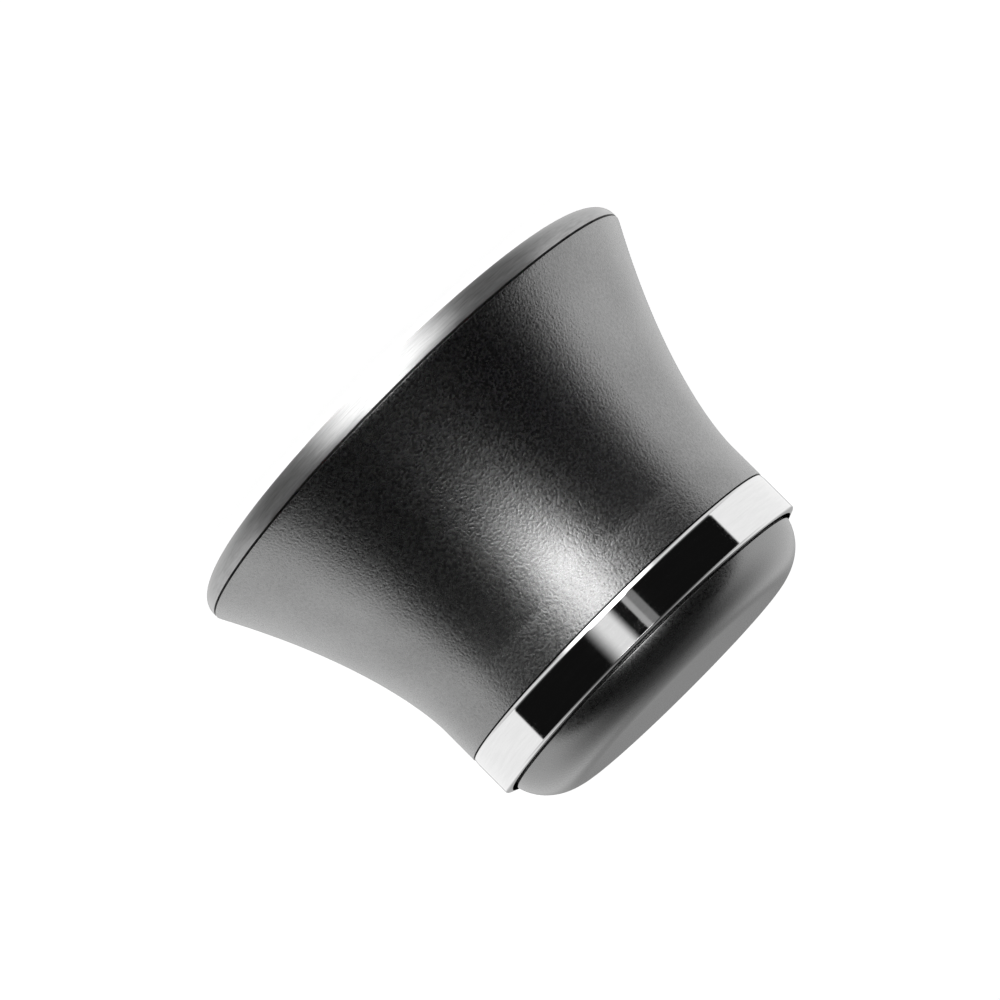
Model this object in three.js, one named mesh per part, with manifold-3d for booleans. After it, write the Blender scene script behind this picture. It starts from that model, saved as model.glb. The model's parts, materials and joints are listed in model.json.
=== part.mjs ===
// Push-and-turn control knob for a concealed valve: a fixed wall disc, a flared grip that turns, and a
// sprung button in its nose. Millimetres, +Z up. The origin is the centre of the disc's flat underside,
// and +Z is the knob's axis, from the wall towards the button.
import * as THREE from 'three';
import { mergeVertices } from 'three/addons/utils/BufferGeometryUtils.js';
import Module from 'manifold-3d';

const wasm = await Module();
wasm.setup();

// ---- driving dimensions -------------------------------------------------------------------------
const GAP = 0.3;                       // clearance between neighbouring pieces
const SMOOTH = 44;                     // facets round the visible pieces
const PLAIN = 20;                      // facets round the hidden pieces

const DISC_R = 25;                     // wall disc, the widest part
const DISC_H = 2.5;
const DISC_EDGE_R = 5;                 // the soft lower edge of the disc: how far in, and how high
const DISC_EDGE_H = 2.3;
const DISC_EDGE_POWER = 2.3;           // a little squarer than an ellipse

const NOSE_R = 17.8;                   // the grip where it meets the trim ring
const GRIP_Z0 = DISC_H + GAP;          // the turning gap above the disc
const GRIP_Z1 = 27.8;
const FLARE_Z = 24.2;                  // the flare starts here and grows towards the disc
const FLARE_DROP = 21.6;
const FLARE_GROWTH = 7.43;
const FLARE_POWER = 1.64;
const WALL = 2.2;                      // thickness of the bell

const RING_Z0 = GRIP_Z1 + GAP;
const RING_Z1 = 32.1;
const RING_WALL = 0.6;
const RING_BORE_R = NOSE_R - RING_WALL;
const RING_CHAMFER = 0.18;
const RING_FLANGE_H = 0.6;

const CAP_R = RING_BORE_R - GAP;       // runs inside the trim ring
const TRAVEL = 2.2;                    // how far the button goes in
const CAP_Z0 = RING_Z0 + RING_FLANGE_H + GAP + TRAVEL;
const CAP_Z1 = 36;
const CAP_FLAT_R = 11.6;               // the flat end, inside the rounded shoulder
const CAP_WALL = 1;
const CAP_ROOF = 1.6;

const SPINDLE_R = 5;
const BUSH_BORE_R = SPINDLE_R + GAP;
const BUSH_R = 7.5;
const BUSH_FLANGE_R = 12.6;
const BUSH_FLANGE_H = 1.8;
const BUSH_Z1 = 12.1;
const SPIGOT_R = 8.6;                  // the bush's spigot through the disc
const SPIGOT_Z0 = 0.3;
const CLIP_BAY_R = 7.3;                // recess for the circlip, open at the wall
const CLIP_BAY_Z1 = 2.2;

const HUB_R = 13;                      // the grip's hub, round the well
const HUB_Z0 = 14.9;
const WEB_Z1 = 17.4;                   // floor of the well
const WELL_R = 9.2;
const POCKET_Z1 = 25.3;                // how far up the bell is hollow

const NECK_R = 5.6;                    // threaded neck of the spindle, through the web
const SPINDLE_Z0 = 0.6;
const SPINDLE_Z1 = 21;
const SPINDLE_FLANGE_R = 8;
const SPINDLE_FLANGE_Z0 = 13.1;
const SOCKET_SIDE = 5.6;               // square socket for the valve's stem
const SOCKET_Z1 = 6;
const ROD_R = 2;
const ROD_BORE_R = 2.4;
const ROD_Z0 = 8.5;

const GUIDE_Z0 = 24.6;
const GUIDE_Z1 = 30.2;
const GUIDE_R = WELL_R - GAP;
const GUIDE_SEAT_R = 12.7;
const GUIDE_LIP_R = 15;
const SLEEVE_R = 4.4;                  // the guide's inner sleeve, round the rod
const SLEEVE_Z1 = 28.6;
const SPRING_POCKET_R = 7.4;
const SPRING_POCKET_Z0 = 25.6;

const SPRING_R = 5.9;
const SPRING_WIRE_R = 0.45;
const SPRING_TURNS = 5;

const STOP_R = 14.2;                   // where the stop pin stands
const STOP_PIN_R = 1.25;
const STOP_PIN_Z0 = 1.4;
const STOP_PIN_Z1 = 8.4;
const TURN_RANGE = 270;                // degrees between the two stops
const STOP_SLACK = 0.6;                // degrees left at each end

const SCREWS = 3;
const BUSH_SCREW_R = 10.7;             // circle of the bush's screws
const GUIDE_SCREW_R = 11.1;            // circle of the guide's screws
const SHANK_R = 1;

// ---- helpers ------------------------------------------------------------------------------------
/** A solid of revolution about Z. Its outline of [r, z] runs anticlockwise, to the axis or round a loop. */
function turned(outline, facets = PLAIN) {
  const points = outline.map(([r, z]) => new THREE.Vector2(r, z));
  const first = points[0];
  const last = points.at(-1);
  if (first.x > 0 || last.x > 0) points.push(first.clone());
  return new THREE.LatheGeometry(points, facets).rotateX(Math.PI / 2);
}

/** A plain ring, or a disc where inner is 0, between two heights. */
function ring(inner, outer, z0, z1, facets = PLAIN) {
  return turned([[inner, z0], [outer, z0], [outer, z1], [inner, z1]], facets);
}

function toManifold(geometry) {
  const bare = geometry.clone();
  bare.deleteAttribute('normal');
  bare.deleteAttribute('uv');
  const merged = mergeVertices(bare, 1e-4);
  const vertProperties = new Float32Array(merged.attributes.position.array);
  const triVerts = new Uint32Array(merged.index.array);
  const mesh = new wasm.Mesh({ numProp: 3, vertProperties, triVerts });
  mesh.merge();
  return new wasm.Manifold(mesh);
}

function toGeometry(solid) {
  const mesh = solid.getMesh();
  const geometry = new THREE.BufferGeometry();
  geometry.setAttribute('position', new THREE.BufferAttribute(mesh.vertProperties, 3));
  geometry.setIndex(new THREE.BufferAttribute(mesh.triVerts, 1));
  geometry.computeVertexNormals();
  return geometry;
}

function cut(geometry, ...tools) {
  return toGeometry(tools.reduce((solid, tool) => solid.subtract(toManifold(tool)), toManifold(geometry)));
}

function join(geometry, ...others) {
  return toGeometry(others.reduce((solid, other) => solid.add(toManifold(other)), toManifold(geometry)));
}

/** Moves a geometry from the axis to the place of screw number i on a circle. */
function atScrew(geometry, radius, i) {
  const angle = (i * 2 * Math.PI) / SCREWS + Math.PI / 6;
  return geometry.translate(radius * Math.cos(angle), radius * Math.sin(angle), 0);
}

/** A flat piece cut from sheet: a sector between two radii, raised from z0 to z1. */
function sector(inner, outer, fromDeg, toDeg, z0, z1, curveSegments = 12) {
  const from = THREE.MathUtils.degToRad(fromDeg);
  const to = THREE.MathUtils.degToRad(toDeg);
  const shape = new THREE.Shape();
  shape.absarc(0, 0, outer, from, to, false);
  shape.absarc(0, 0, inner, to, from, true);
  const settings = { depth: z1 - z0, bevelEnabled: false, curveSegments };
  return new THREE.ExtrudeGeometry(shape, settings).translate(0, 0, z0);
}

/** The outside radius of the grip at height z. */
function gripRadius(z) {
  const along = Math.max(0, FLARE_Z - z) / FLARE_DROP;
  return Math.min(DISC_R, NOSE_R + FLARE_GROWTH * along ** FLARE_POWER);
}

/** Points along the bell's curve, stepping from one height to another, set in from the outside. */
function bellCurve(from, to, steps, inset = 0) {
  return Array.from({ length: steps + 1 }, (_, i) => {
    const z = from + ((to - from) * i) / steps;
    return [gripRadius(z) - inset, z];
  });
}

/** Points along an ellipse about (r, z), from one angle to another. A power above 2 makes it squarer. */
function arc(r, z, width, height, fromDeg, toDeg, steps, power = 2) {
  const bend = (value) => Math.sign(value) * Math.abs(value) ** (2 / power);
  return Array.from({ length: steps + 1 }, (_, i) => {
    const angle = THREE.MathUtils.degToRad(fromDeg + ((toDeg - fromDeg) * i) / steps);
    return [r + width * bend(Math.cos(angle)), z + height * bend(Math.sin(angle))];
  });
}

/** A pan-head screw with a round driving recess, its head seated at height seat. */
function screw(seat, depth) {
  const headR = 1.7;
  const headH = 1.1;
  const recessR = 0.7;
  const recessFloor = seat + 0.5;
  return turned([
    [0, seat - depth], [SHANK_R, seat - depth], [SHANK_R, seat], [headR, seat],
    [headR, seat + headH], [recessR, seat + headH], [recessR, recessFloor], [0, recessFloor],
  ], 16);
}

/** The clearance holes for one circle of screws. */
function screwHoles(radius, z0, z1) {
  return Array.from({ length: SCREWS }, (_, i) => atScrew(ring(0, SHANK_R + GAP, z0, z1, 16), radius, i));
}

// ---- the fixed base -----------------------------------------------------------------------------
const GLIDE_R0 = 20.6;
const GLIDE_R1 = 23.2;
const GLIDE_Z0 = 1.8;
const GLIDE_Z1 = 2.9;
const GASKET_R0 = 16.7;
const GASKET_R1 = 18.6;
const GASKET_H = 0.6;
const BUSH_SCREW_SEAT = DISC_H + GAP + BUSH_FLANGE_H + GAP;
const BUSH_SCREW_DEPTH = 3.4;

function baseDisc() {
  const holeR = SPIGOT_R + GAP;
  const disc = turned([
    [holeR, 0],
    [GASKET_R0 - GAP, 0], [GASKET_R0 - GAP, GASKET_H + GAP],
    [GASKET_R1 + GAP, GASKET_H + GAP], [GASKET_R1 + GAP, 0],
    ...arc(DISC_R - DISC_EDGE_R, DISC_EDGE_H, DISC_EDGE_R, DISC_EDGE_H, -90, 0, 7, DISC_EDGE_POWER),
    [DISC_R, DISC_H], [GLIDE_R1 + GAP, DISC_H], [GLIDE_R1 + GAP, GLIDE_Z0 - GAP],
    [GLIDE_R0 - GAP, GLIDE_Z0 - GAP], [GLIDE_R0 - GAP, DISC_H], [holeR, DISC_H],
  ], SMOOTH);
  const pinHole = ring(0, STOP_PIN_R + GAP, STOP_PIN_Z0 - GAP, DISC_H + 1, 16).translate(STOP_R, 0, 0);
  const screwFloor = BUSH_SCREW_SEAT - BUSH_SCREW_DEPTH - GAP;
  return cut(disc, pinHole, ...screwHoles(BUSH_SCREW_R, screwFloor, DISC_H + 1));
}

const baseGasket = () => ring(GASKET_R0, GASKET_R1, 0, GASKET_H, SMOOTH);
const glideRing = () => ring(GLIDE_R0, GLIDE_R1, GLIDE_Z0, GLIDE_Z1, SMOOTH);

function spindleBush() {
  const flangeZ0 = DISC_H + GAP;
  const flangeZ1 = flangeZ0 + BUSH_FLANGE_H;
  const bush = turned([
    [BUSH_BORE_R, CLIP_BAY_Z1], [CLIP_BAY_R, CLIP_BAY_Z1], [CLIP_BAY_R, SPIGOT_Z0],
    [SPIGOT_R, SPIGOT_Z0], [SPIGOT_R, flangeZ0], [BUSH_FLANGE_R, flangeZ0],
    [BUSH_FLANGE_R, flangeZ1], [BUSH_R, flangeZ1], [BUSH_R, BUSH_Z1], [BUSH_BORE_R, BUSH_Z1],
  ]);
  return cut(bush, ...screwHoles(BUSH_SCREW_R, flangeZ0 - 1, flangeZ1 + 1));
}

const bushScrew = (i) => atScrew(screw(BUSH_SCREW_SEAT, BUSH_SCREW_DEPTH), BUSH_SCREW_R, i);
const stopPin = () => ring(0, STOP_PIN_R, STOP_PIN_Z0, STOP_PIN_Z1, 16).translate(STOP_R, 0, 0);

// ---- the turning grip ---------------------------------------------------------------------------
const GUIDE_SCREW_SEAT = GUIDE_Z1 + GAP;
const GUIDE_SCREW_DEPTH = 6;
const WASHER_Z0 = WEB_Z1 + GAP;
const WASHER_H = 0.7;
const WASHER_R = 8.6;
const NUT_Z0 = WASHER_Z0 + WASHER_H + GAP;
const NUT_H = 2.2;
const CIRCLIP_GROOVE_R = 4.5;
const CIRCLIP_R = 6.8;
const CIRCLIP_Z0 = 1.1;
const CIRCLIP_H = 0.7;
const O_RING_Z = 9;
const O_RING_WIRE_R = 0.35;
const O_RING_GROOVE_R = 4;
const STOP_BLOCK_Z0 = 6.4;
const STOP_BLOCK_HALF = 1.4;           // half of its thickness, about the pin's circle

/** The grip's stop: a block under the hub, which meets the pin at both ends of the turn. */
function stopBlock() {
  const pinHalf = THREE.MathUtils.radToDeg(Math.asin(STOP_PIN_R / STOP_R));
  const from = pinHalf + STOP_SLACK;
  const to = 360 - TURN_RANGE - pinHalf - STOP_SLACK;
  return sector(HUB_R - STOP_BLOCK_HALF, STOP_R + STOP_BLOCK_HALF, from, to, STOP_BLOCK_Z0, HUB_Z0 + 0.5);
}

function gripShell() {
  const stepZ = GLIDE_Z1 + GAP;
  const bell = turned([
    [NECK_R + GAP, HUB_Z0], [HUB_R, HUB_Z0], [HUB_R, POCKET_Z1],
    ...bellCurve(POCKET_Z1, stepZ, 8, WALL),
    [GLIDE_R1 + GAP, stepZ], [GLIDE_R1 + GAP, GRIP_Z0],
    ...bellCurve(GRIP_Z0, FLARE_Z, 12), [NOSE_R, GRIP_Z1],
    [WELL_R, GRIP_Z1], [WELL_R, WEB_Z1], [NECK_R + GAP, WEB_Z1],
  ], SMOOTH);
  const screwFloor = GUIDE_SCREW_SEAT - GUIDE_SCREW_DEPTH - GAP;
  return cut(join(bell, stopBlock()), ...screwHoles(GUIDE_SCREW_R, screwFloor, GRIP_Z1 + 1));
}

function trimRing() {
  const flangeR = GUIDE_SEAT_R + GAP;
  const flangeZ1 = RING_Z0 + RING_FLANGE_H;
  return turned([
    [flangeR, RING_Z0], [NOSE_R - RING_CHAMFER, RING_Z0], [NOSE_R, RING_Z0 + RING_CHAMFER],
    [NOSE_R, RING_Z1 - RING_CHAMFER], [NOSE_R - RING_CHAMFER, RING_Z1], [RING_BORE_R, RING_Z1],
    [RING_BORE_R, flangeZ1], [flangeR, flangeZ1],
  ], SMOOTH);
}

/** The hollow spindle, grooved for the circlip and the O-ring, with a square socket for the valve's stem. */
function driveSpindle() {
  const clipZ0 = CIRCLIP_Z0 - GAP;
  const clipZ1 = CIRCLIP_Z0 + CIRCLIP_H + GAP;
  const sealHalf = O_RING_WIRE_R + GAP;
  const flangeZ1 = HUB_Z0 - GAP;
  const spindle = turned([
    [0, SPINDLE_Z0], [SPINDLE_R, SPINDLE_Z0],
    [SPINDLE_R, clipZ0], [CIRCLIP_GROOVE_R, clipZ0], [CIRCLIP_GROOVE_R, clipZ1], [SPINDLE_R, clipZ1],
    [SPINDLE_R, O_RING_Z - sealHalf], [O_RING_GROOVE_R, O_RING_Z - sealHalf],
    [O_RING_GROOVE_R, O_RING_Z + sealHalf], [SPINDLE_R, O_RING_Z + sealHalf],
    [SPINDLE_R, SPINDLE_FLANGE_Z0], [SPINDLE_FLANGE_R, SPINDLE_FLANGE_Z0],
    [SPINDLE_FLANGE_R, flangeZ1], [NECK_R, flangeZ1], [NECK_R, SPINDLE_Z1], [0, SPINDLE_Z1],
  ]);
  const socket = new THREE.BoxGeometry(SOCKET_SIDE, SOCKET_SIDE, 2 * SOCKET_Z1);
  return cut(spindle, socket, ring(0, ROD_BORE_R, SOCKET_Z1 - 1, SPINDLE_Z1 + 1));
}

function spindleNut() {
  const acrossFlats = 13;
  const cornerR = acrossFlats / Math.sqrt(3);
  const hexagon = new THREE.CylinderGeometry(cornerR, cornerR, NUT_H, 6).rotateX(Math.PI / 2);
  const bore = ring(0, NECK_R + GAP, NUT_Z0 - 1, NUT_Z0 + NUT_H + 1);
  return cut(hexagon.translate(0, 0, NUT_Z0 + NUT_H / 2), bore);
}

const spindleWasher = () => ring(NECK_R + GAP, WASHER_R, WASHER_Z0, WASHER_Z0 + WASHER_H);
const thrustWasher = () => ring(BUSH_BORE_R, BUSH_R, BUSH_Z1 + GAP, SPINDLE_FLANGE_Z0 - GAP);
const spindleCirclip = () =>
  sector(CIRCLIP_GROOVE_R + GAP, CIRCLIP_R, -150, 150, CIRCLIP_Z0, CIRCLIP_Z0 + CIRCLIP_H, 16);

function spindleORing() {
  const centreR = O_RING_GROOVE_R + GAP + O_RING_WIRE_R;
  return turned(arc(centreR, O_RING_Z, O_RING_WIRE_R, O_RING_WIRE_R, 0, 315, 7));
}

function buttonGuide() {
  const seatZ = RING_Z0 + RING_FLANGE_H + GAP;
  const guide = turned([
    [ROD_BORE_R, GUIDE_Z0], [GUIDE_R, GUIDE_Z0], [GUIDE_R, RING_Z0], [GUIDE_SEAT_R, RING_Z0],
    [GUIDE_SEAT_R, seatZ], [GUIDE_LIP_R, seatZ], [GUIDE_LIP_R, GUIDE_Z1], [SPRING_POCKET_R, GUIDE_Z1],
    [SPRING_POCKET_R, SPRING_POCKET_Z0], [SLEEVE_R, SPRING_POCKET_Z0], [SLEEVE_R, SLEEVE_Z1],
    [ROD_BORE_R, SLEEVE_Z1],
  ]);
  return cut(guide, ...screwHoles(GUIDE_SCREW_R, RING_Z0 - 1, GUIDE_Z1 + 1));
}

const guideScrew = (i) => atScrew(screw(GUIDE_SCREW_SEAT, GUIDE_SCREW_DEPTH), GUIDE_SCREW_R, i);

// ---- the button ---------------------------------------------------------------------------------
const CAP_ROOF_Z = CAP_Z1 - CAP_ROOF;
const CAP_EDGE_W = CAP_R - CAP_FLAT_R;
const BOSS_R = 4.2;
const BOSS_Z0 = SLEEVE_Z1 + TRAVEL + 0.5;
const ROD_Z1 = CAP_ROOF_Z - GAP;
const ROD_CHAMFER = 0.4;
const ROD_CLIP_Z0 = 23.6;
const ROD_CLIP_H = 0.7;
const ROD_CLIP_GROOVE_R = 1.4;
const ROD_CLIP_R = 4;

function buttonCap() {
  const height = CAP_Z1 - CAP_Z0;
  return turned([
    [0, CAP_ROOF_Z], [ROD_R + GAP, CAP_ROOF_Z], [ROD_R + GAP, BOSS_Z0], [BOSS_R, BOSS_Z0],
    [BOSS_R, CAP_ROOF_Z],
    ...arc(CAP_FLAT_R, CAP_Z0, CAP_EDGE_W - CAP_WALL, CAP_ROOF_Z - CAP_Z0, 90, 0, 5),
    ...arc(CAP_FLAT_R, CAP_Z0, CAP_EDGE_W, height, 0, 90, 9), [0, CAP_Z1],
  ], SMOOTH);
}

function pushRod() {
  const grooveZ0 = ROD_CLIP_Z0 - GAP;
  const grooveZ1 = ROD_CLIP_Z0 + ROD_CLIP_H + GAP;
  return turned([
    [0, ROD_Z0], [ROD_R - ROD_CHAMFER, ROD_Z0], [ROD_R, ROD_Z0 + ROD_CHAMFER], [ROD_R, grooveZ0],
    [ROD_CLIP_GROOVE_R, grooveZ0], [ROD_CLIP_GROOVE_R, grooveZ1], [ROD_R, grooveZ1],
    [ROD_R, ROD_Z1], [0, ROD_Z1],
  ], 20);
}

const rodClip = () =>
  sector(ROD_CLIP_GROOVE_R + GAP, ROD_CLIP_R, -140, 140, ROD_CLIP_Z0, ROD_CLIP_Z0 + ROD_CLIP_H);

/** A compression spring's centre line: its end turns lie flat. */
class Coil extends THREE.Curve {
  constructor(radius, turns, z0, z1) {
    super();
    Object.assign(this, { radius, turns, z0, z1 });
  }

  getPoint(t, target = new THREE.Vector3()) {
    const angle = 2 * Math.PI * this.turns * t;
    const rise = THREE.MathUtils.smootherstep(t, -0.1, 1.1);
    const start = THREE.MathUtils.smootherstep(0, -0.1, 1.1);
    const z = this.z0 + ((this.z1 - this.z0) * (rise - start)) / (1 - 2 * start);
    return target.set(this.radius * Math.cos(angle), this.radius * Math.sin(angle), z);
  }
}

function returnSpring() {
  const z0 = SPRING_POCKET_Z0 + GAP + SPRING_WIRE_R;
  const z1 = CAP_ROOF_Z - GAP - SPRING_WIRE_R;
  const wire = new THREE.Shape().absarc(0, 0, SPRING_WIRE_R, 0, 2 * Math.PI, false);
  const extrudePath = new Coil(SPRING_R, SPRING_TURNS, z0, z1);
  return new THREE.ExtrudeGeometry(wire, { steps: SPRING_TURNS * 14, curveSegments: 3, extrudePath });
}

// ---- assembly -----------------------------------------------------------------------------------
const MATERIALS = {
  satin_black: { color: 0x2b2c2e, roughness: 0.42, metalness: 0.6 },
  brushed_steel: { color: 0xb9bbbe, roughness: 0.28, metalness: 1 },
  polished_chrome: { color: 0xe6e8ea, roughness: 0.05, metalness: 1 },
  brass: { color: 0xb58f4a, roughness: 0.35, metalness: 1 },
  steel: { color: 0x9a9ca0, roughness: 0.35, metalness: 1 },
  rubber: { color: 0x191919, roughness: 0.85, metalness: 0 },
  acetal: { color: 0xe3e1d8, roughness: 0.55, metalness: 0 },
};

/** The three screws of one circle, each a piece of its own, numbered from 1. */
function screwPieces(name, make) {
  return Array.from({ length: SCREWS }, (_, i) => [`${name}_${i + 1}`, () => make(i), 'steel']);
}

const PIECES = {
  base: [
    ['base_disc', baseDisc, 'brushed_steel'],
    ['base_gasket', baseGasket, 'rubber'],
    ['glide_ring', glideRing, 'acetal'],
    ['spindle_bush', spindleBush, 'brass'],
    ['stop_pin', stopPin, 'steel'],
    ...screwPieces('bush_screw', bushScrew),
  ],
  grip: [
    ['grip_shell', gripShell, 'satin_black'],
    ['trim_ring', trimRing, 'polished_chrome'],
    ['drive_spindle', driveSpindle, 'brass'],
    ['spindle_nut', spindleNut, 'steel'],
    ['spindle_washer', spindleWasher, 'steel'],
    ['thrust_washer', thrustWasher, 'acetal'],
    ['spindle_circlip', spindleCirclip, 'steel'],
    ['spindle_o_ring', spindleORing, 'rubber'],
    ['button_guide', buttonGuide, 'acetal'],
    ...screwPieces('guide_screw', guideScrew),
  ],
  button: [
    ['button_cap', buttonCap, 'satin_black'],
    ['push_rod', pushRod, 'steel'],
    ['rod_clip', rodClip, 'steel'],
    ['return_spring', returnSpring, 'steel'],
  ],
};

const knob = new THREE.Group();
for (const [body, pieces] of Object.entries(PIECES)) {
  const group = new THREE.Group();
  group.name = body;
  for (const [name, make, material] of pieces) {
    const mesh = new THREE.Mesh(make(), new THREE.MeshStandardMaterial(MATERIALS[material]));
    mesh.name = name;
    group.add(mesh);
  }
  knob.add(group);
}

export default knob;
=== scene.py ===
"""The looks of a push-and-turn control knob: finely turned pieces, their finishes, and a plain studio."""
import json
import math

import bmesh
import bpy
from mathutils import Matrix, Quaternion, Vector


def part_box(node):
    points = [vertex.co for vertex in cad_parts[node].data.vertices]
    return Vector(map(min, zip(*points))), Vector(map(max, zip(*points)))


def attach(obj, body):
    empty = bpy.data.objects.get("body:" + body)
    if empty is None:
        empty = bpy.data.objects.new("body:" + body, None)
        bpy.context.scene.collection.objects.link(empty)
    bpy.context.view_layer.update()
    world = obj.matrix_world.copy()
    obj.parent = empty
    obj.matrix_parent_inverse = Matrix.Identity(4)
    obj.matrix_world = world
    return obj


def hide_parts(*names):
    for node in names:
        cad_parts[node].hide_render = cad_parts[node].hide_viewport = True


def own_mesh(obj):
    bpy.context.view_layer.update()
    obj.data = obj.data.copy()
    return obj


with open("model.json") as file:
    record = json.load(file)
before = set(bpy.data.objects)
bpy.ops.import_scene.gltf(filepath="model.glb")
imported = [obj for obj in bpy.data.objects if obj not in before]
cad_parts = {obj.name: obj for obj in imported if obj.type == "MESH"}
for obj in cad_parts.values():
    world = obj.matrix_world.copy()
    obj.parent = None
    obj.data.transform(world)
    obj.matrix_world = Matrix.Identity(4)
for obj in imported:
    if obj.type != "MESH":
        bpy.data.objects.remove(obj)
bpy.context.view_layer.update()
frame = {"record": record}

MM = 0.001
BODY_OF = {node: body for body, nodes in frame["record"]["behaviour"]["bodies"].items() for node in nodes}
SLOT_OF = {part["node"]: part["material_slot"] for part in frame["record"]["subparts"]}


# ---- camera, light and floor --------------------------------------------------------------------
CAMERA_BACK = 584 * MM       # how far in front of the knob's axis the camera stands
CAMERA_HEIGHT = 76 * MM      # above the wall face: it looks down on the button by about 6 degrees
AIM_HEIGHT = 13.1 * MM       # the point of the axis at the picture's centre
CAMERA_ROLL = 135            # degrees: the knob's nose points to the lower right
SENSOR, LENS = 36, 239.6
CLIP_START = 0.01


def make_camera():
    data = bpy.data.cameras.new("camera")
    data.sensor_width = SENSOR
    data.lens = LENS
    data.clip_start = CLIP_START
    camera = bpy.data.objects.new("camera", data)
    bpy.context.scene.collection.objects.link(camera)
    camera.location = (0, -CAMERA_BACK, CAMERA_HEIGHT)
    look = Vector((0, 0, AIM_HEIGHT)) - camera.location
    camera.rotation_mode = "QUATERNION"
    roll = Quaternion((0, 0, 1), math.radians(CAMERA_ROLL))
    camera.rotation_quaternion = look.to_track_quat("-Z", "Y") @ roll
    bpy.context.scene.camera = camera


class Nodes:
    """Adds shader nodes to a tree. An input is a number, a colour or another node's output."""

    def __init__(self, tree):
        self.tree = tree

    def add(self, kind, inputs=None, **settings):
        node = self.tree.nodes.new(kind)
        for name, value in settings.items():
            setattr(node, name, value)
        for name, value in (inputs or {}).items():
            self.set(node.inputs[name], value)
        return node

    def set(self, socket, value):
        if isinstance(value, bpy.types.NodeSocket):
            self.tree.links.new(value, socket)
        else:
            socket.default_value = value

    def math(self, operation, a, b=0.0):
        return self.add("ShaderNodeMath", {0: a, 1: b}, operation=operation).outputs[0]

    def step(self, value, low, high, to_low=0.0, to_high=1.0):
        """Goes smoothly from to_low to to_high as the value goes from low to high."""
        inputs = {"Value": value, "From Min": low, "From Max": high, "To Min": to_low, "To Max": to_high}
        return self.add("ShaderNodeMapRange", inputs, interpolation_type="SMOOTHSTEP").outputs["Result"]

    def band(self, value, rise, fall):
        """1 between the two soft edges rise and fall, each a pair (from, to), and 0 outside them."""
        return self.math("MULTIPLY", self.step(value, *rise), self.step(value, *fall, 1.0, 0.0))

    def mix(self, share, a, b):
        """Number a where share is 0, number b where it is 1."""
        return self.add("ShaderNodeMix", {0: share, 2: a, 3: b}, data_type="FLOAT").outputs[0]


# The studio. Azimuths are degrees from the camera, positive towards -X; elevations are above the horizon.
# Each pair is the start and the end of a soft edge.
PANEL_EDGE = (84.6, 86.2)            # a dark panel on each side of the softbox reaches to here
PANEL_TOP = (46, 60)
PANEL_GLOW = 0.09                    # what the panels give back, less and less upwards
PANEL_FADE = (-5, 36)
CEILING_FRONT = 0.03                 # above the panels
SOFTBOX = 9.5                        # brightest at its foot
SOFTBOX_FADE = (-14, 31)
SOFTBOX_SIDES = (-17, -13), (10, 14)
SHELF = (-10.5, -9), (-1, 0.5)       # a black shelf crosses the front
SHELF_BLACK = 0.006
SHELF_LIGHT = 0.85                   # a dim patch on it
SHELF_SIDES = (-22, -9), (-4, 2.6)
SLIT_LIGHT = 0.2                     # and two dimmer ones beside it, which overlap
SLIT_SIDES = ((7.6, 8.6), (11, 12.5)), ((7.6, 8.6), (16.3, 17.6))
ROOM = 1.0                           # white walls at both sides, up to a dim ceiling
ROOM_FADE = (22, 72)
CEILING = 0.09
BACK_EDGE = (165, 174)               # a grey wall behind the knob, up to a dim ceiling too
BACK = 0.42
BACK_FADE = (18, 84)
BACK_CEILING = 0.12
TABLE_TOP = (-14, -11)               # from here down, the table under the knob
TABLE = 0.22
TABLE_SIDE = 0.65                    # how much brighter it is out at the sides
TABLE_SIDE_EDGE = (35, 60)
STRIP = 3.0                          # a bright strip runs from front to back in the middle of it
STRIP_EDGE = (7, 23)
APRON = (-23, -20), (-14.5, -12.5)   # the white front of the table
APRON_LIGHT = 0.8


def front_light(n, azimuth, elevation):
    """The softbox between its two dark panels, with the shelf across them."""
    across = n.band(azimuth, *SOFTBOX_SIDES)
    box = n.math("MULTIPLY", across, n.step(elevation, *SOFTBOX_FADE, SOFTBOX, 0.0))
    plain = n.math("ADD", box, n.step(elevation, *PANEL_FADE, PANEL_GLOW, 0.0))
    shelf = n.math("MULTIPLY", n.band(azimuth, *SHELF_SIDES), SHELF_LIGHT)
    for sides in SLIT_SIDES:
        shelf = n.math("ADD", shelf, n.math("MULTIPLY", n.band(azimuth, *sides), SLIT_LIGHT))
    crossed = n.mix(n.band(elevation, *SHELF), plain, n.math("ADD", shelf, SHELF_BLACK))
    return n.mix(n.step(elevation, *PANEL_TOP), crossed, CEILING_FRONT)


def table_light(n, x, y):
    """The table, by how far to the side a surface faces to mirror it to the camera, in degrees."""
    facing = n.math("DEGREES", n.math("ARCTAN2", n.math("ABSOLUTE", x), n.math("SUBTRACT", 1.0, y)))
    strip = n.step(facing, *STRIP_EDGE, STRIP, 0.0)
    return n.math("ADD", n.step(facing, *TABLE_SIDE_EDGE, TABLE, TABLE + TABLE_SIDE), strip)


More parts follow.
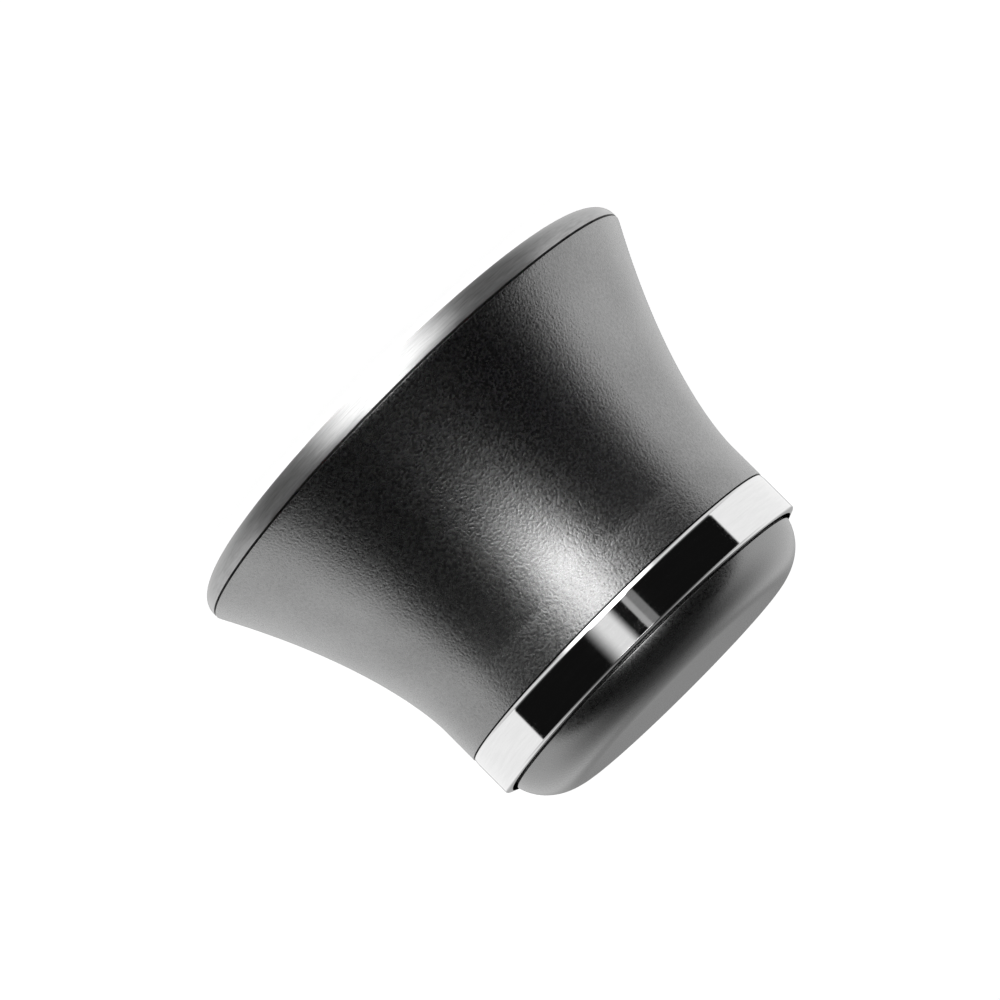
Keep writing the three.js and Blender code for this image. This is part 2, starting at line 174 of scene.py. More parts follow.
def make_world():
    """A white studio as a pattern of directions. The camera itself sees plain white.

    The softbox is behind the camera, between two tall dark panels. The walls are white at the sides and
    grey at the back, the ceiling is dim, and the knob is over a table with a white front.
    """
    world = bpy.data.worlds.new("studio")
    bpy.context.scene.world = world
    world.use_nodes = True
    world.node_tree.nodes.clear()
    n = Nodes(world.node_tree)
    direction = n.add("ShaderNodeTexCoord").outputs["Generated"]
    x, y, z = n.add("ShaderNodeSeparateXYZ", {0: direction}).outputs
    aside, ahead = n.math("MULTIPLY", x, -1.0), n.math("MULTIPLY", y, -1.0)
    azimuth = n.math("DEGREES", n.math("ARCTAN2", aside, ahead))
    elevation = n.math("DEGREES", n.math("ARCSINE", z))
    turn = n.math("ABSOLUTE", azimuth)

    sides = n.step(elevation, *ROOM_FADE, ROOM, CEILING)
    wall = n.step(elevation, *BACK_FADE, BACK, BACK_CEILING)
    behind = n.mix(n.step(turn, *BACK_EDGE), sides, wall)
    around = n.mix(n.step(turn, *PANEL_EDGE), front_light(n, azimuth, elevation), behind)
    apron = n.math("MULTIPLY", n.band(elevation, *APRON), APRON_LIGHT)
    below = n.math("MAXIMUM", table_light(n, x, y), apron)
    studio = n.mix(n.step(elevation, *TABLE_TOP, 1.0, 0.0), around, below)
    camera_ray = n.add("ShaderNodeLightPath").outputs["Is Camera Ray"]
    strength = n.mix(camera_ray, studio, 1.0)
    background = n.add("ShaderNodeBackground", {"Color": (1, 1, 1, 1), "Strength": strength})
    output = n.add("ShaderNodeOutputWorld")
    n.set(output.inputs["Surface"], background.outputs[0])


FLOOR_HALF = 40.0
FLOOR_DROP = 0.02 * MM
FLOOR_TONE, FLOOR_GLOW = 0.9, 0.8


def make_floor():
    """A pale floor, bright enough to run into the white background."""
    mesh = bpy.data.meshes.new("floor")
    corners = [(x * FLOOR_HALF, y * FLOOR_HALF, 0) for x, y in ((-1, -1), (1, -1), (1, 1), (-1, 1))]
    mesh.from_pydata(corners, [], [(0, 1, 2, 3)])
    floor = bpy.data.objects.new("floor", mesh)
    bpy.context.scene.collection.objects.link(floor)
    floor.location.z = -FLOOR_DROP
    floor.visible_glossy = False
    material = bpy.data.materials.new("floor_white")
    material.use_nodes = True
    shader = material.node_tree.nodes["Principled BSDF"]
    shader.inputs["Base Color"].default_value = (FLOOR_TONE, FLOOR_TONE, FLOOR_TONE, 1)
    shader.inputs["Roughness"].default_value = 1
    shader.inputs["Specular IOR Level"].default_value = 0
    shader.inputs["Emission Color"].default_value = (1, 1, 1, 1)
    shader.inputs["Emission Strength"].default_value = FLOOR_GLOW
    mesh.materials.append(material)


make_camera()
make_world()
make_floor()
bpy.context.scene.view_settings.view_transform = "Standard"


# ---- materials ----------------------------------------------------------------------------------
SPREAD = 0.3, 0.7             # nearly all of a noise's values lie between these


def new_material(name):
    material = bpy.data.materials.new(name)
    material.use_nodes = True
    return material, Nodes(material.node_tree), material.node_tree.nodes["Principled BSDF"]


def place(n):
    """A point's place on its piece, in metres, as a vector."""
    return n.add("ShaderNodeTexCoord").outputs["Object"]


def noise(n, vector, scale, detail=2.0, roughness=0.5):
    """Noise from 0 to 1. The scale is its waves to a metre, where the vector is a place."""
    inputs = {"Vector": vector, "Scale": scale, "Detail": detail, "Roughness": roughness}
    return n.add("ShaderNodeTexNoise", inputs).outputs["Fac"]


def ramp(n, value, low, high, dark, light):
    """A colour that goes from dark to light as the value goes from low to high."""
    node = n.add("ShaderNodeValToRGB", {0: value})
    for stop, position, colour in zip(node.color_ramp.elements, (low, high), (dark, light)):
        stop.position = position
        stop.color = (*colour, 1)
    return node.outputs["Color"]


def grey(shade):
    return (shade, shade, shade)


def bump(n, shader, height, distance):
    """Bumps that are the given distance high, in mm."""
    node = n.add("ShaderNodeBump", {"Strength": 1.0, "Distance": distance * MM, "Height": height})
    n.set(shader.inputs["Normal"], node.outputs[0])


BLACK_TONE = 0.285


def satin_black(name="satin_black", grain=0.036, rough=(0.22, 0.31), speckle=0.07):
    """Bead-blasted, black anodised metal: a fine pitted grain that sparkles in a highlight."""
    material, n, shader = new_material(name)
    where = place(n)
    pits = noise(n, where, 4200, detail=3, roughness=0.6)
    drift = noise(n, where, 90)
    tone = n.math("ADD", n.math("MULTIPLY", pits, 0.6), n.math("MULTIPLY", drift, 0.4))
    dark, light = grey(BLACK_TONE - speckle), grey(BLACK_TONE + speckle)
    n.set(shader.inputs["Base Color"], ramp(n, tone, 0.35, 0.65, dark, light))
    n.set(shader.inputs["Roughness"], n.step(pits, *SPREAD, *rough))
    shader.inputs["Metallic"].default_value = 1.0
    bump(n, shader, pits, grain)
    return material


LEAST_RADIUS = 0.0001         # keeps the streaks from dividing by nothing on the axis


def round_streaks(n, fine, along):
    """Noise drawn out round the Z axis: fine is waves to a metre across, along is waves to a radian."""
    x, y, z = n.add("ShaderNodeSeparateXYZ", {0: place(n)}).outputs
    radius = n.math("SQRT", n.math("ADD", n.math("MULTIPLY", x, x), n.math("MULTIPLY", y, y)))
    spread = n.math("MAXIMUM", radius, LEAST_RADIUS)
    across = n.math("MULTIPLY", n.math("ADD", radius, z), fine)
    cosine = n.math("MULTIPLY", n.math("DIVIDE", x, spread), along)
    sine = n.math("MULTIPLY", n.math("DIVIDE", y, spread), along)
    vector = n.add("ShaderNodeCombineXYZ", {0: cosine, 1: sine, 2: across}).outputs[0]
    return noise(n, vector, 1.0, detail=3, roughness=0.6)


def turned_metal(name, dark, light, rough, fine, along, groove, anisotropy):
    """Metal with fine marks round its axis from brushing, turning or polishing."""
    material, n, shader = new_material(name)
    streaks = round_streaks(n, fine, along)
    n.set(shader.inputs["Base Color"], ramp(n, streaks, *SPREAD, dark, light))
    n.set(shader.inputs["Roughness"], n.step(streaks, *SPREAD, *rough))
    shader.inputs["Metallic"].default_value = 1.0
    shader.inputs["Anisotropic"].default_value = anisotropy
    shader.inputs["Anisotropic Rotation"].default_value = 0.25
    tangent = n.add("ShaderNodeTangent", direction_type="RADIAL", axis="Z")
    n.set(shader.inputs["Tangent"], tangent.outputs[0])
    if groove:
        bump(n, shader, streaks, groove)
    return material


def plated_steel():
    """Bright zinc plate: a bluish grey with a faint warm bloom and a slightly uneven gloss."""
    material, n, shader = new_material("plated_steel")
    where = place(n)
    bloom = noise(n, where, 900, detail=4, roughness=0.6)
    n.set(shader.inputs["Base Color"], ramp(n, bloom, 0.35, 0.7, (0.55, 0.58, 0.62), (0.72, 0.70, 0.64)))
    n.set(shader.inputs["Roughness"], n.step(noise(n, where, 3500, detail=3), *SPREAD, 0.2, 0.38))
    shader.inputs["Metallic"].default_value = 1.0
    bump(n, shader, bloom, 0.006)
    return material


def rubber():
    """Moulded black rubber, matte with a fine skin."""
    material, n, shader = new_material("rubber")
    where = place(n)
    skin = noise(n, where, 5000, detail=4, roughness=0.6)
    n.set(shader.inputs["Base Color"], ramp(n, noise(n, where, 300), *SPREAD, grey(0.016), grey(0.032)))
    n.set(shader.inputs["Roughness"], n.step(skin, *SPREAD, 0.6, 0.85))
    bump(n, shader, skin, 0.02)
    return material


def acetal():
    """Moulded natural acetal: a waxy off-white with a faint cloudiness."""
    material, n, shader = new_material("acetal")
    where = place(n)
    cloud = noise(n, where, 160, detail=3)
    n.set(shader.inputs["Base Color"], ramp(n, cloud, *SPREAD, (0.74, 0.72, 0.66), (0.84, 0.83, 0.78)))
    skin = noise(n, where, 3800, detail=3)
    n.set(shader.inputs["Roughness"], n.step(skin, *SPREAD, 0.36, 0.5))
    shader.inputs["Subsurface Weight"].default_value = 0.15
    shader.inputs["Subsurface Scale"].default_value = 1 * MM
    bump(n, shader, skin, 0.006)
    return material


MATERIALS = {
    "satin_black": satin_black(),
    "satin_black_cap": satin_black("satin_black_cap", grain=0.007, rough=(0.25, 0.33), speckle=0.025),
    "brushed_steel": turned_metal(
        "brushed_steel", grey(0.31), grey(0.48), rough=(0.28, 0.42),
        fine=4800, along=14, groove=0.004, anisotropy=0.85),
    "polished_chrome": turned_metal(
        "polished_chrome", grey(0.78), grey(0.83), rough=(0.03, 0.07),
        fine=4000, along=5, groove=0, anisotropy=0.0),
    "brass": turned_metal(
        "brass", (0.6, 0.43, 0.2), (0.8, 0.62, 0.34), rough=(0.22, 0.36),
        fine=9000, along=5, groove=0.003, anisotropy=0.4),
    "plated_steel": plated_steel(),
    "rubber": rubber(),
    "acetal": acetal(),
}
MATERIAL_OF = {**SLOT_OF, "button_cap": "satin_black_cap"}


# ---- shapes -------------------------------------------------------------------------------------
FINE = 256                    # facets round most pieces
PLAIN = 96                    # round the nut and the rod
SMALL = 48                    # round a screw or a pin
HOLE = 32                     # round a small hole or eye
TINY = 24                     # round the hole in an eye
OVER = 1                      # how far a cutter goes past the face that it opens
BLUNT = 150                   # degrees: a wider corner isn't rounded


def rounded(outline, radius, steps=4):
    """The outline with each sharp corner off the axis made a small round."""
    points = [Vector(p) for p in outline]
    closed = points[0].x > 0 or points[-1].x > 0
    made = []
    for i, corner in enumerate(points):
        end = not closed and i in (0, len(points) - 1)
        before, after = points[i - 1] - corner, points[(i + 1) % len(points)] - corner
        if end or before.angle(after) > math.radians(BLUNT):
            made.append(corner)
            continue
        half = before.angle(after) / 2
        reach = min(radius / math.tan(half), before.length * 0.45, after.length * 0.45)
        start, stop = corner + before.normalized() * reach, corner + after.normalized() * reach
        for k in range(steps + 1):
            t = k / steps
            made.append(start * (1 - t) ** 2 + corner * 2 * t * (1 - t) + stop * t ** 2)
    return [(p.x, p.y) for p in made]


def turned(outline, segments=PLAIN, cut=None):
    """A mesh turned about Z from an outline of (radius, height) in mm, closed on itself or on the axis.

    A cut takes a depth off the radius at each height and share of a turn.
    """
    mesh = bmesh.new()
    rings = []
    for radius, height in outline:
        if radius < 1e-6:
            rings.append([mesh.verts.new((0, 0, height * MM))])
            continue
        ring = []
        for k in range(segments):
            angle = 2 * math.pi * k / segments
            r = radius - (cut(height, k / segments) if cut else 0)
            ring.append(mesh.verts.new((r * math.cos(angle) * MM, r * math.sin(angle) * MM, height * MM)))
        rings.append(ring)
    on_axis = len(rings[0]) == 1 and len(rings[-1]) == 1
    for i in range(len(rings) - 1 if on_axis else len(rings)):
        ring, other = rings[i], rings[(i + 1) % len(rings)]
        for k in range(segments):
            j = (k + 1) % segments
            corners = [ring[k % len(ring)], ring[j % len(ring)],
                       other[j % len(other)], other[k % len(other)]]
            corners = list(dict.fromkeys(corners))
            if len(corners) > 2:
                mesh.faces.new(corners)
    bmesh.ops.recalc_face_normals(mesh, faces=mesh.faces)
    return mesh


def thread(z0, z1, pitch, depth):
    """How much a screw thread from z0 to z1 takes off the radius at a height and a share of a turn."""
    def cut(height, share):
        if not z0 <= height <= z1:
            return 0.0
        fade = min(1.0, (height - z0) / pitch, (z1 - height) / pitch)
        phase = ((height - z0) / pitch - share) % 1.0
        return depth * fade * (1 - abs(2 * phase - 1))
    return cut


def rungs(radius, z0, z1, pitch, rows=6):
    """Points up a threaded stretch, close enough together to carry its thread."""
    count = max(2, round((z1 - z0) / pitch * rows))
    return [(radius, z0 + (z1 - z0) * k / count) for k in range(count + 1)]


def groove(shaft_r, floor_r, z0, z1, slack):
    """Points up a shaft past a groove for a ring that reaches from z0 to z1."""
    low, high = z0 - slack, z1 + slack
    return [(shaft_r, low), (floor_r, low), (floor_r, high), (shaft_r, high)]


def arc(r, z, width, height, from_deg, to_deg, steps, power=2.0):
    """Points along an ellipse about (r, z). A power above 2 makes it squarer."""
    def bend(value):
        return math.copysign(abs(value) ** (2 / power), value)
    angles = [math.radians(from_deg + (to_deg - from_deg) * k / steps) for k in range(steps + 1)]
    return [(r + width * bend(math.cos(a)), z + height * bend(math.sin(a))) for a in angles]


def cylinder(radius, z0, z1):
    """The outline of a plain cylinder."""
    return [(0, z0), (radius, z0), (radius, z1), (0, z1)]


def prism(corners, z0, z1):
    """A mesh raised straight up from a flat outline of (x, y) in mm."""
    mesh = bmesh.new()
    low = [mesh.verts.new((x * MM, y * MM, z0 * MM)) for x, y in corners]
    high = [mesh.verts.new((x * MM, y * MM, z1 * MM)) for x, y in corners]
    mesh.faces.new(low)
    mesh.faces.new(high)
    for k in range(len(corners)):
        j = (k + 1) % len(corners)
        mesh.faces.new((low[k], low[j], high[j], high[k]))
    bmesh.ops.recalc_face_normals(mesh, faces=mesh.faces)
    return mesh


def polygon(sides, flats, turn=0.0):
    """The corners of a regular polygon, given the distance across its flats."""
    radius = flats / 2 / math.cos(math.pi / sides)
    angles = [2 * math.pi * (k + 0.5 + turn) / sides for k in range(sides)]
    return [(radius * math.cos(a), radius * math.sin(a)) for a in angles]


def sector(inner, outer, from_deg, to_deg, steps=48):
    """The corners of a flat sector between two radii."""
    angles = [math.radians(from_deg + (to_deg - from_deg) * k / steps) for k in range(steps + 1)]
    rim = [(outer * math.cos(a), outer * math.sin(a)) for a in angles]
    return rim + [(inner * math.cos(a), inner * math.sin(a)) for a in reversed(angles)]


def around_axis(radius, degrees):
    """The place (x, y) at a radius and an angle."""
    return radius * math.cos(math.radians(degrees)), radius * math.sin(math.radians(degrees))


def shifted(mesh, x, y):
    bmesh.ops.translate(mesh, verts=mesh.verts, vec=(x * MM, y * MM, 0))
    return mesh


def to_object(name, mesh):
    data = bpy.data.meshes.new(name)
    mesh.to_mesh(data)
    mesh.free()
    made = bpy.data.objects.new(name, data)
    bpy.context.scene.collection.objects.link(made)
    return made


def carve(mesh, *tools, operation="DIFFERENCE"):
    """Cuts tool meshes out of a mesh, or joins them to it or keeps what they share."""
    body = to_object("body", mesh)
    cutters = [to_object("cutter", tool) for tool in tools]
    for cutter in cutters:
        modifier = body.modifiers.new("carve", "BOOLEAN")
        modifier.object = cutter
        modifier.operation = operation
        modifier.solver = "EXACT"
    result = body.evaluated_get(bpy.context.evaluated_depsgraph_get())
    carved = bmesh.new()
    carved.from_mesh(result.to_mesh())
    for made in (body, *cutters):
        data = made.data
        bpy.data.objects.remove(made)
        bpy.data.meshes.remove(data)
    return carved


SMOOTH_ANGLE = 35


def finish_piece(name, mesh, node, body=None):
    """Turns a bmesh into the piece that stands for a CAD node, riding on that node's body or another."""
    piece = to_object(name, mesh)
    piece.data.materials.append(MATERIALS[MATERIAL_OF[node]])
    piece.data.shade_smooth()
    piece.data.set_sharp_from_angle(angle=math.radians(SMOOTH_ANGLE))
    weighted = piece.modifiers.new("even_shading", "WEIGHTED_NORMAL")
    weighted.keep_sharp = True
    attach(piece, body or BODY_OF[node])
    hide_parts(node)
    return piece


def size(node):
    """A node's lowest and highest z, and half its width, in mm."""
    low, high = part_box(node)
    return low.z / MM, high.z / MM, (high.x - low.x) / 2 / MM


def centre(node):
    """The place of a node's own axis, in mm."""
    low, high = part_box(node)
    return (low.x + high.x) / 2 / MM, (low.y + high.y) / 2 / MM


SCREWS = 3                    # in each of the two circles of screws
HOLE_R = 1.15                 # a hole round an M2 screw
TIP_ROOM = 0.2                # between a screw's tip and the floor of its hole


def holes(name, z0, z1):
    """Round cutters at the places of a circle of screws."""
    hole = cylinder(HOLE_R, z0, z1)
    return [shifted(turned(hole, HOLE), *centre(f"{name}_{i + 1}")) for i in range(SCREWS)]


# ---- the fixed base -----------------------------------------------------------------------------
EDGE = 0.15                   # the round on the edges of the bush and the spindle
PART_LINE = 0.12              # the fine line between the grip and the ring
TURNING_GAP = 0.2             # and the one in which the grip turns on the disc
DISC_HOLE_R = 8.75
DISC_EDGE_R, DISC_EDGE_POWER = 5.0, 2.3
DISC_LAND = 0.12              # the straight side above the disc's soft edge
GASKET_WIDTH, GASKET_GROOVE = 1.9, 0.9
GLIDE_WIDTH, GLIDE_CROWN = 2.6, 0.3
RING_ROOM = 0.2               # round the gasket and the glide ring in their grooves
PIN_ROOM, PIN_HOLE_DEEPER = 0.05, 0.1


def wall_disc():
    z0, _, radius = size("base_disc")
    top = size("grip_shell")[0] - TURNING_GAP
    gasket_r = size("base_gasket")[2]
    glide_z0, _, glide_r = size("glide_ring")
    gasket_r0, gasket_r1 = gasket_r - GASKET_WIDTH - RING_ROOM, gasket_r + RING_ROOM
    glide_r0, glide_r1 = glide_r - GLIDE_WIDTH - RING_ROOM, glide_r + RING_ROOM
    glide_floor = glide_z0 - RING_ROOM
    edge_h = top - DISC_LAND
    edge = arc(radius - DISC_EDGE_R, z0 + edge_h, DISC_EDGE_R, edge_h, -90, 0, 32, DISC_EDGE_POWER)
    outline = [(DISC_HOLE_R, z0), (gasket_r0, z0), (gasket_r0, GASKET_GROOVE),
               (gasket_r1, GASKET_GROOVE), (gasket_r1, z0), *edge, (radius, top),
               (glide_r1, top), (glide_r1, glide_floor),
               (glide_r0, glide_floor), (glide_r0, top), (DISC_HOLE_R, top)]
    pin_z0, _, pin_r = size("stop_pin")
    pin_hole = turned(cylinder(pin_r + PIN_ROOM, pin_z0 - PIN_HOLE_DEEPER, top + OVER), SMALL)
    shifted(pin_hole, *centre("stop_pin"))
    screw_floor = size("bush_screw_1")[0] - TIP_ROOM
    screw_holes = holes("bush_screw", screw_floor, top + OVER)
    disc = carve(turned(rounded(outline, 0.05), FINE), pin_hole, *screw_holes)
    finish_piece("wall_disc", disc, "base_disc")


def gasket():
    """A flat rubber ring with two lips against the wall."""
    z0, z1, radius = size("base_gasket")
    inner = radius - GASKET_WIDTH
    middle = (inner + radius) / 2
    tip, foot = 0.25, 0.55                  # a lip's two edges, from the ring's own side
    tilt, hollow, corner = 0.02, 0.18, 0.12     # heights above the wall
    lips = [(inner + tip, z0), (inner + foot, z0 + tilt), (middle, z0 + hollow),
            (radius - foot, z0 + tilt), (radius - tip, z0)]
    outline = [(inner, z0 + corner), *lips, (radius, z0 + corner), (radius, z1), (inner, z1)]
    finish_piece("wall_gasket", turned(rounded(outline, 0.08), FINE), "base_gasket")


def glide():
    """The slippery ring on which the grip's rim runs, with a crowned top."""
    z0, z1, radius = size("glide_ring")
    inner = radius - GLIDE_WIDTH
    crown = arc((inner + radius) / 2, z1 - GLIDE_CROWN, GLIDE_WIDTH / 2, GLIDE_CROWN, 0, 180, 16)
    outline = [(inner, z0), (radius, z0), *crown]
    finish_piece("slide_ring", turned(rounded(outline, 0.1), FINE), "glide_ring")


BUSH_BORE_R = 5.2
BUSH_SPIGOT_R = 8.6
CLIP_BAY_R, CLIP_BAY_Z1 = 7.3, 2.2
BUSH_FLANGE_Z0, BUSH_FLANGE_Z1 = 2.8, 4.6
BUSH_HOLES_Z0, BUSH_HOLES_Z1 = 2, 5


def bush():
    z0, z1, radius = size("spindle_bush")
    body_r = size("thrust_washer")[2]
    outline = [(BUSH_BORE_R, CLIP_BAY_Z1), (CLIP_BAY_R, CLIP_BAY_Z1), (CLIP_BAY_R, z0), (BUSH_SPIGOT_R, z0),
               (BUSH_SPIGOT_R, BUSH_FLANGE_Z0), (radius, BUSH_FLANGE_Z0), (radius, BUSH_FLANGE_Z1),
               (body_r, BUSH_FLANGE_Z1), (body_r, z1), (BUSH_BORE_R, z1)]
    screw_holes = holes("bush_screw", BUSH_HOLES_Z0, BUSH_HOLES_Z1)
    bearing = carve(turned(rounded(outline, EDGE), FINE), *screw_holes)
    finish_piece("bearing_bush", bearing, "spindle_bush")


def dowel():
    z0, z1, radius = size("stop_pin")
    pin = shifted(turned(rounded(cylinder(radius, z0, z1), 0.3), SMALL), *centre("stop_pin"))
    finish_piece("dowel_pin", pin, "stop_pin")


SCREW_R, SCREW_PITCH, SCREW_THREAD = 1.0, 0.4, 0.2
SCREW_POINT, SCREW_NECK = 0.25, 0.2     # the chamfer at the tip, and the plain stretch under the head
SCREW_HEAD_H, SCREW_RIM_H = 1.1, 0.3
SCREW_FLAT_R = 0.5                      # the flat on top of the dome
SCREW_SOCKET, SCREW_SOCKET_H = 1.3, 0.6  # across the flats of the key


def socket_screw(node):
    """A domed machine screw with a real thread and a hexagon socket."""
    z0, z1, head_r = size(node)
    seat = z1 - SCREW_HEAD_H
    low, high = z0 + SCREW_POINT, seat - SCREW_NECK
    dome_w, dome_h = head_r - SCREW_FLAT_R, SCREW_HEAD_H - SCREW_RIM_H
    head = arc(SCREW_FLAT_R, seat + SCREW_RIM_H, dome_w, dome_h, 0, 90, 8)
    outline = [(0, z0), (SCREW_R - SCREW_POINT, z0), *rungs(SCREW_R, low, high, SCREW_PITCH),
               (SCREW_R, seat), (head_r, seat), *head, (0, z1)]
    blank = turned(outline, SMALL, thread(low, high, SCREW_PITCH, SCREW_THREAD))
    socket = prism(polygon(6, SCREW_SOCKET), z1 - SCREW_SOCKET_H, z1 + OVER)
    screw = shifted(carve(blank, socket), *centre(node))
    finish_piece(node.replace("screw", "socket_screw"), screw, node)


# ---- the turning grip ---------------------------------------------------------------------------
FLARE_Z, FLARE_DROP, FLARE_GROWTH, FLARE_POWER = 24.2, 21.6, 7.34, 1.6
BELL_WALL = 2.2
HUB_R, HUB_Z0, WEB_Z1, WELL_R, POCKET_Z1 = 13, 14.9, 17.4, 9.2, 25.3
NECK_HOLE_R = 5.8
STOP_FROM, STOP_TO = 5.65, 84.35     # degrees round the axis that the stop block fills
STOP_R0, STOP_R1, STOP_Z0 = 11.6, 15.6, 6.4
STOP_SINK = 0.5               # how far the block reaches into the hub
RIM_ROOM = 0.3                # between the grip's rim and the glide ring


def grip_radius(z):
    nose, widest = size("trim_ring")[2], size("grip_shell")[2]
    along = max(0.0, FLARE_Z - z) / FLARE_DROP
    return min(widest, nose + FLARE_GROWTH * along ** FLARE_POWER)


def bell(z0, z1, steps, inset=0.0):
    heights = [z0 + (z1 - z0) * k / steps for k in range(steps + 1)]
    return [(grip_radius(z) - inset, z) for z in heights]


def grip():
    z0, top, _ = size("grip_shell")
    _, glide_z1, glide_r = size("glide_ring")
    rim_inner, step_z = glide_r + RIM_ROOM, glide_z1 + RIM_ROOM
    outline = [(NECK_HOLE_R, HUB_Z0), (HUB_R, HUB_Z0), (HUB_R, POCKET_Z1),
               *bell(POCKET_Z1, step_z, 30, BELL_WALL), (rim_inner, step_z), (rim_inner, z0),
               *bell(z0, FLARE_Z, 60), (size("trim_ring")[2], top),
               (WELL_R, top), (WELL_R, WEB_Z1), (NECK_HOLE_R, WEB_Z1)]
    block = prism(sector(STOP_R0, STOP_R1, STOP_FROM, STOP_TO), STOP_Z0, HUB_Z0 + STOP_SINK)
    shell = carve(turned(rounded(outline, 0.02), FINE), block, operation="UNION")
    screw_floor = size("guide_screw_1")[0] - TIP_ROOM
    shell = carve(shell, *holes("guide_screw", screw_floor, top + OVER))
    finish_piece("grip", shell, "grip_shell")


RING_CHAMFER_W, RING_CHAMFER_H = 0.055, 0.5   # the bright bevel at the grip's end
RING_BEVEL_W, RING_BEVEL_H = 0.57, 0.21       # the flatter one at the button's end
RING_CORNER = 0.06                            # eases the bevel into the side
RING_WALL = 0.6
RING_FLANGE_R, RING_FLANGE_H = 13, 0.6
RING_SEAT_FROM, RING_SEAT_TO = 1, 0.7         # how far in from the side its foot slopes outwards


def polished_ring():
    low, z1, radius = size("trim_ring")
    z0 = size("grip_shell")[1] + PART_LINE
    flange_z1 = low + RING_FLANGE_H
    bore = radius - RING_WALL
    bevel_z0 = z1 - RING_BEVEL_H
    outline = [(RING_FLANGE_R, low), (radius - RING_SEAT_FROM, low), (radius - RING_SEAT_TO, z0),
               (radius - RING_CHAMFER_W, z0), (radius, z0 + RING_CHAMFER_H),
               (radius, bevel_z0 - RING_CORNER), (radius - RING_CORNER, bevel_z0),
               (radius - RING_BEVEL_W, z1), (bore, z1), (bore, flange_z1), (RING_FLANGE_R, flange_z1)]
    finish_piece("polished_ring", turned(rounded(outline, 0.05), FINE), "trim_ring")


SPINDLE_R = 5.0
SPINDLE_FLANGE_Z0, SPINDLE_FLANGE_Z1 = 13.1, 14.6
CLIP_GROOVE_R, SEAL_GROOVE_R, GROOVE_SLACK = 4.5, 4, 0.15
NECK_R, NECK_PITCH, NECK_THREAD = 5.6, 0.75, 0.38
NECK_RUNOUT, NECK_CHAMFER = 0.4, 0.3
SOCKET_SIDE, SOCKET_Z1 = 5.6, 6.0
SOCKET_OVERLAP = 0.5          # how far the socket is cut up into the rod's bore
ROD_BORE_R = 2.4


def spindle():
    z0, z1, flange_r = size("drive_spindle")
    clip_z0, clip_z1, _ = size("spindle_circlip")
    seal_z0, seal_z1, _ = size("spindle_o_ring")
    thread_z0, thread_z1 = WEB_Z1 + NECK_RUNOUT, z1 - NECK_CHAMFER
    bore_z0 = SOCKET_Z1 - SOCKET_OVERLAP
    outline = [(0, z0), (SPINDLE_R, z0),
               *groove(SPINDLE_R, CLIP_GROOVE_R, clip_z0, clip_z1, GROOVE_SLACK),
               *groove(SPINDLE_R, SEAL_GROOVE_R, seal_z0, seal_z1, GROOVE_SLACK),
               (SPINDLE_R, SPINDLE_FLANGE_Z0), (flange_r, SPINDLE_FLANGE_Z0), (flange_r, SPINDLE_FLANGE_Z1),
               (NECK_R, SPINDLE_FLANGE_Z1), *rungs(NECK_R, thread_z0, thread_z1, NECK_PITCH),
               (NECK_R - NECK_CHAMFER, z1), (ROD_BORE_R, z1), (ROD_BORE_R, bore_z0), (0, bore_z0)]
    neck_thread = thread(thread_z0, thread_z1, NECK_PITCH, NECK_THREAD)
    blank = turned(rounded(outline, EDGE), FINE, neck_thread)
    half = SOCKET_SIDE / 2
    socket = prism([(-half, -half), (half, -half), (half, half), (-half, half)], -OVER, SOCKET_Z1)
    finish_piece("hollow_spindle", carve(blank, socket), "drive_spindle")


def nut():
    """A hexagon nut, its corners turned off at both faces."""
    z0, z1, _ = size("spindle_nut")
    flats = 13.0
    corner_r = flats / math.sqrt(3)
    cone_in, cone_h, past = 0.9, 0.45, 0.1      # the cone that takes the corners off
    hexagon = prism(polygon(6, flats, 0.5), z0, z1)
    barrel = turned([(0, z0 - past), (corner_r - cone_in, z0 - past), (corner_r + past, z0 + cone_h),
                     (corner_r + past, z1 - cone_h), (corner_r - cone_in, z1 + past), (0, z1 + past)])
    bore_r = NECK_R + 0.2
    sink_r, sink_h = bore_r + 1.2, 0.25         # the countersink, a millimetre out from the face
    bore = turned([(0, z0 - OVER), (sink_r, z0 - OVER), (bore_r, z0 + sink_h), (bore_r, z1 - sink_h),
                   (sink_r, z1 + OVER), (0, z1 + OVER)])
    blank = carve(hexagon, barrel, operation="INTERSECT")
    finish_piece("hexagon_nut", carve(blank, bore), "spindle_nut")


def flat_ring(name, node, inner, edge):
    z0, z1, radius = size(node)
    outline = [(inner, z0), (radius, z0), (radius, z1), (inner, z1)]
    finish_piece(name, turned(rounded(outline, edge), FINE), node)


CIRCLIP_INNER_R = 4.7
CIRCLIP_END, CIRCLIP_HEEL = 146, 60     # degrees each way: the band's ends, and its wider middle
CIRCLIP_HEEL_W = 0.35
CIRCLIP_EYE_AT, CIRCLIP_EYE_R, CIRCLIP_EYE_HOLE_R = 5.8, 0.95, 0.42


def circlip():
    """A snap ring with an eye at each end for the pliers."""
    z0, z1, outer = size("spindle_circlip")
    band = prism(sector(CIRCLIP_INNER_R, outer - CIRCLIP_HEEL_W, -CIRCLIP_END, CIRCLIP_END), z0, z1)
    eye_at = [around_axis(CIRCLIP_EYE_AT, a) for a in (-CIRCLIP_END, CIRCLIP_END)]
    eyes = [shifted(turned(cylinder(CIRCLIP_EYE_R, z0, z1), HOLE), *at) for at in eye_at]
    hole = cylinder(CIRCLIP_EYE_HOLE_R, z0 - OVER, z1 + OVER)
    drills = [shifted(turned(hole, TINY), *at) for at in eye_at]
    heel = prism(sector(CIRCLIP_INNER_R, outer, -CIRCLIP_HEEL, CIRCLIP_HEEL), z0, z1)
    clip = carve(carve(band, heel, *eyes, operation="UNION"), *drills)
    finish_piece("snap_ring", clip, "spindle_circlip")


